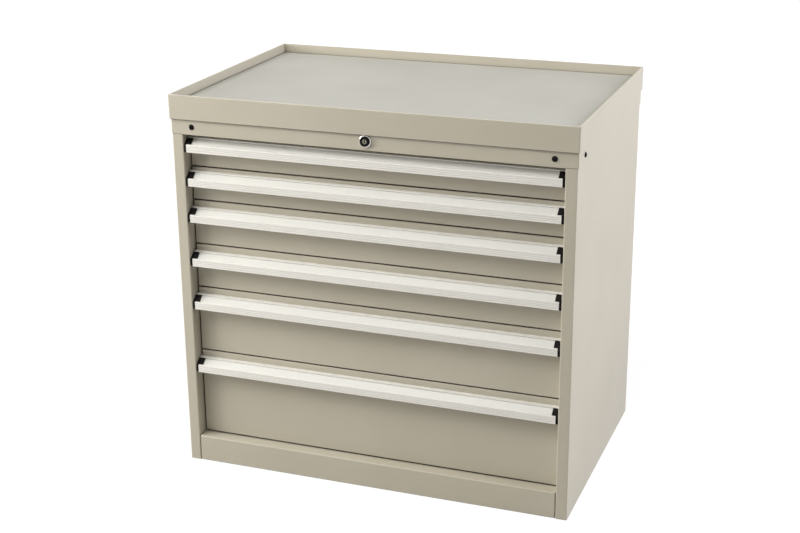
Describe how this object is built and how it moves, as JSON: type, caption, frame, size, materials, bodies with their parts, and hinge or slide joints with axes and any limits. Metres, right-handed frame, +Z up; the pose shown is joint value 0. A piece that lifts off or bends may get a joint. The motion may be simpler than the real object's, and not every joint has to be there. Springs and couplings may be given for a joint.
{
  "type": "tool cabinet",
  "caption": "Free-standing steel cabinet with full-width drawers, a full-length grip rail on each drawer, a central lock and a shallow lipped tray on top.",
  "frame": {"origin": "on the floor, under the middle of the cabinet", "axes": "+Z up, +X to the right seen from the front, the drawers open towards -Y"},
  "size_m": [0.889, 0.5906, 0.847],
  "materials": {
    "paint": "fine-textured pebble grey powder coat on sheet steel",
    "drawer_paint": "pebble grey powder coat inside the drawers",
    "mat": "pale grey smooth mat with a fine grain",
    "black_screw": "black oxide",
    "zinc": "zinc plated",
    "chrome": "polished nickel",
    "lock_core": "satin nickel",
    "black_plastic": "moulded black",
    "handle": "clear anodised extrusion",
    "label": "blank card strip under clear film"
  },
  "bodies": {
    "cabinet": {"side_panel_right": "paint", "side_panel_left": "paint", "back_panel": "paint", "base_panel": "paint", "plinth": "paint", "top_band": "paint", "top_tray": "paint", "top_mat": "mat", "cover_screws": "black_screw", "runner_uprights": "zinc", "cabinet_rails": "zinc", "lock_body": "chrome", "lock_collar": "black_plastic", "lock_nut": "zinc"},
    "lock_core": {"lock_cylinder": "lock_core", "lock_cam": "zinc"},
    "transfer_bar": {"lock_transfer_bar": "zinc"},
    "lock_bar": {"lock_bar": "zinc"},
    "drawer_1": {"drawer_1_box": "drawer_paint", "drawer_1_front": "paint", "drawer_1_handle": "handle", "drawer_1_end_caps": "black_plastic", "drawer_1_label": "label", "drawer_1_rails": "zinc"},
    "drawer_1_middle": {"drawer_1_middle_rails": "zinc"},
    "drawer_2": {"drawer_2_box": "drawer_paint", "drawer_2_front": "paint", "drawer_2_handle": "handle", "drawer_2_end_caps": "black_plastic", "drawer_2_label": "label", "drawer_2_rails": "zinc"},
    "drawer_2_middle": {"drawer_2_middle_rails": "zinc"},
    "drawer_3": {"drawer_3_box": "drawer_paint", "drawer_3_front": "paint", "drawer_3_handle": "handle", "drawer_3_end_caps": "black_plastic", "drawer_3_label": "label", "drawer_3_rails": "zinc"},
    "drawer_3_middle": {"drawer_3_middle_rails": "zinc"},
    "drawer_4": {"drawer_4_box": "drawer_paint", "drawer_4_front": "paint", "drawer_4_handle": "handle", "drawer_4_end_caps": "black_plastic", "drawer_4_label": "label", "drawer_4_rails": "zinc"},
    "drawer_4_middle": {"drawer_4_middle_rails": "zinc"},
    "drawer_5": {"drawer_5_box": "drawer_paint", "drawer_5_front": "paint", "drawer_5_handle": "handle", "drawer_5_end_caps": "black_plastic", "drawer_5_label": "label", "drawer_5_rails": "zinc"},
    "drawer_5_middle": {"drawer_5_middle_rails": "zinc"},
    "drawer_6": {"drawer_6_box": "drawer_paint", "drawer_6_front": "paint", "drawer_6_handle": "handle", "drawer_6_end_caps": "black_plastic", "drawer_6_label": "label", "drawer_6_rails": "zinc"},
    "drawer_6_middle": {"drawer_6_middle_rails": "zinc"}
  },
  "joints": [
    {"name": "lock_bar_drop", "type": "slide", "parent": "cabinet", "child": "lock_bar", "axis": [0, 0, -1], "range_m": [0, 0.011]},
    {"name": "lock_turn", "type": "hinge", "parent": "cabinet", "child": "lock_core", "pos_m": [0, -0.29, 0.7815], "axis": [0, 1, 0], "range_deg": [0, 90]},
    {"name": "transfer_bar_slide", "type": "slide", "parent": "cabinet", "child": "transfer_bar", "axis": [1, 0, 0], "range_m": [0, 0.01101]},
    {"name": "drawer_1_slide", "type": "slide", "parent": "cabinet", "child": "drawer_1", "axis": [0, -1, 0], "range_m": [0, 0.5]},
    {"name": "drawer_1_middle_slide", "type": "slide", "parent": "cabinet", "child": "drawer_1_middle", "axis": [0, -1, 0], "range_m": [0, 0.25]},
    {"name": "drawer_2_slide", "type": "slide", "parent": "cabinet", "child": "drawer_2", "axis": [0, -1, 0], "range_m": [0, 0.5]},
    {"name": "drawer_2_middle_slide", "type": "slide", "parent": "cabinet", "child": "drawer_2_middle", "axis": [0, -1, 0], "range_m": [0, 0.25]},
    {"name": "drawer_3_slide", "type": "slide", "parent": "cabinet", "child": "drawer_3", "axis": [0, -1, 0], "range_m": [0, 0.5]},
    {"name": "drawer_3_middle_slide", "type": "slide", "parent": "cabinet", "child": "drawer_3_middle", "axis": [0, -1, 0], "range_m": [0, 0.25]},
    {"name": "drawer_4_slide", "type": "slide", "parent": "cabinet", "child": "drawer_4", "axis": [0, -1, 0], "range_m": [0, 0.5]},
    {"name": "drawer_4_middle_slide", "type": "slide", "parent": "cabinet", "child": "drawer_4_middle", "axis": [0, -1, 0], "range_m": [0, 0.25]},
    {"name": "drawer_5_slide", "type": "slide", "parent": "cabinet", "child": "drawer_5", "axis": [0, -1, 0], "range_m": [0, 0.5]},
    {"name": "drawer_5_middle_slide", "type": "slide", "parent": "cabinet", "child": "drawer_5_middle", "axis": [0, -1, 0], "range_m": [0, 0.25]},
    {"name": "drawer_6_slide", "type": "slide", "parent": "cabinet", "child": "drawer_6", "axis": [0, -1, 0], "range_m": [0, 0.5]},
    {"name": "drawer_6_middle_slide", "type": "slide", "parent": "cabinet", "child": "drawer_6_middle", "axis": [0, -1, 0], "range_m": [0, 0.25]}
  ],
  "couplings": [
    {"joint": "lock_turn", "follows": "lock_bar_drop", "rad_per_m": 142.79},
    {"joint": "transfer_bar_slide", "follows": "lock_bar_drop", "ratio": 1},
    {"joint": "drawer_1_middle_slide", "follows": "drawer_1_slide", "ratio": 0.5},
    {"joint": "drawer_2_middle_slide", "follows": "drawer_2_slide", "ratio": 0.5},
    {"joint": "drawer_3_middle_slide", "follows": "drawer_3_slide", "ratio": 0.5},
    {"joint": "drawer_4_middle_slide", "follows": "drawer_4_slide", "ratio": 0.5},
    {"joint": "drawer_5_middle_slide", "follows": "drawer_5_slide", "ratio": 0.5},
    {"joint": "drawer_6_middle_slide", "follows": "drawer_6_slide", "ratio": 0.5}
  ]
}
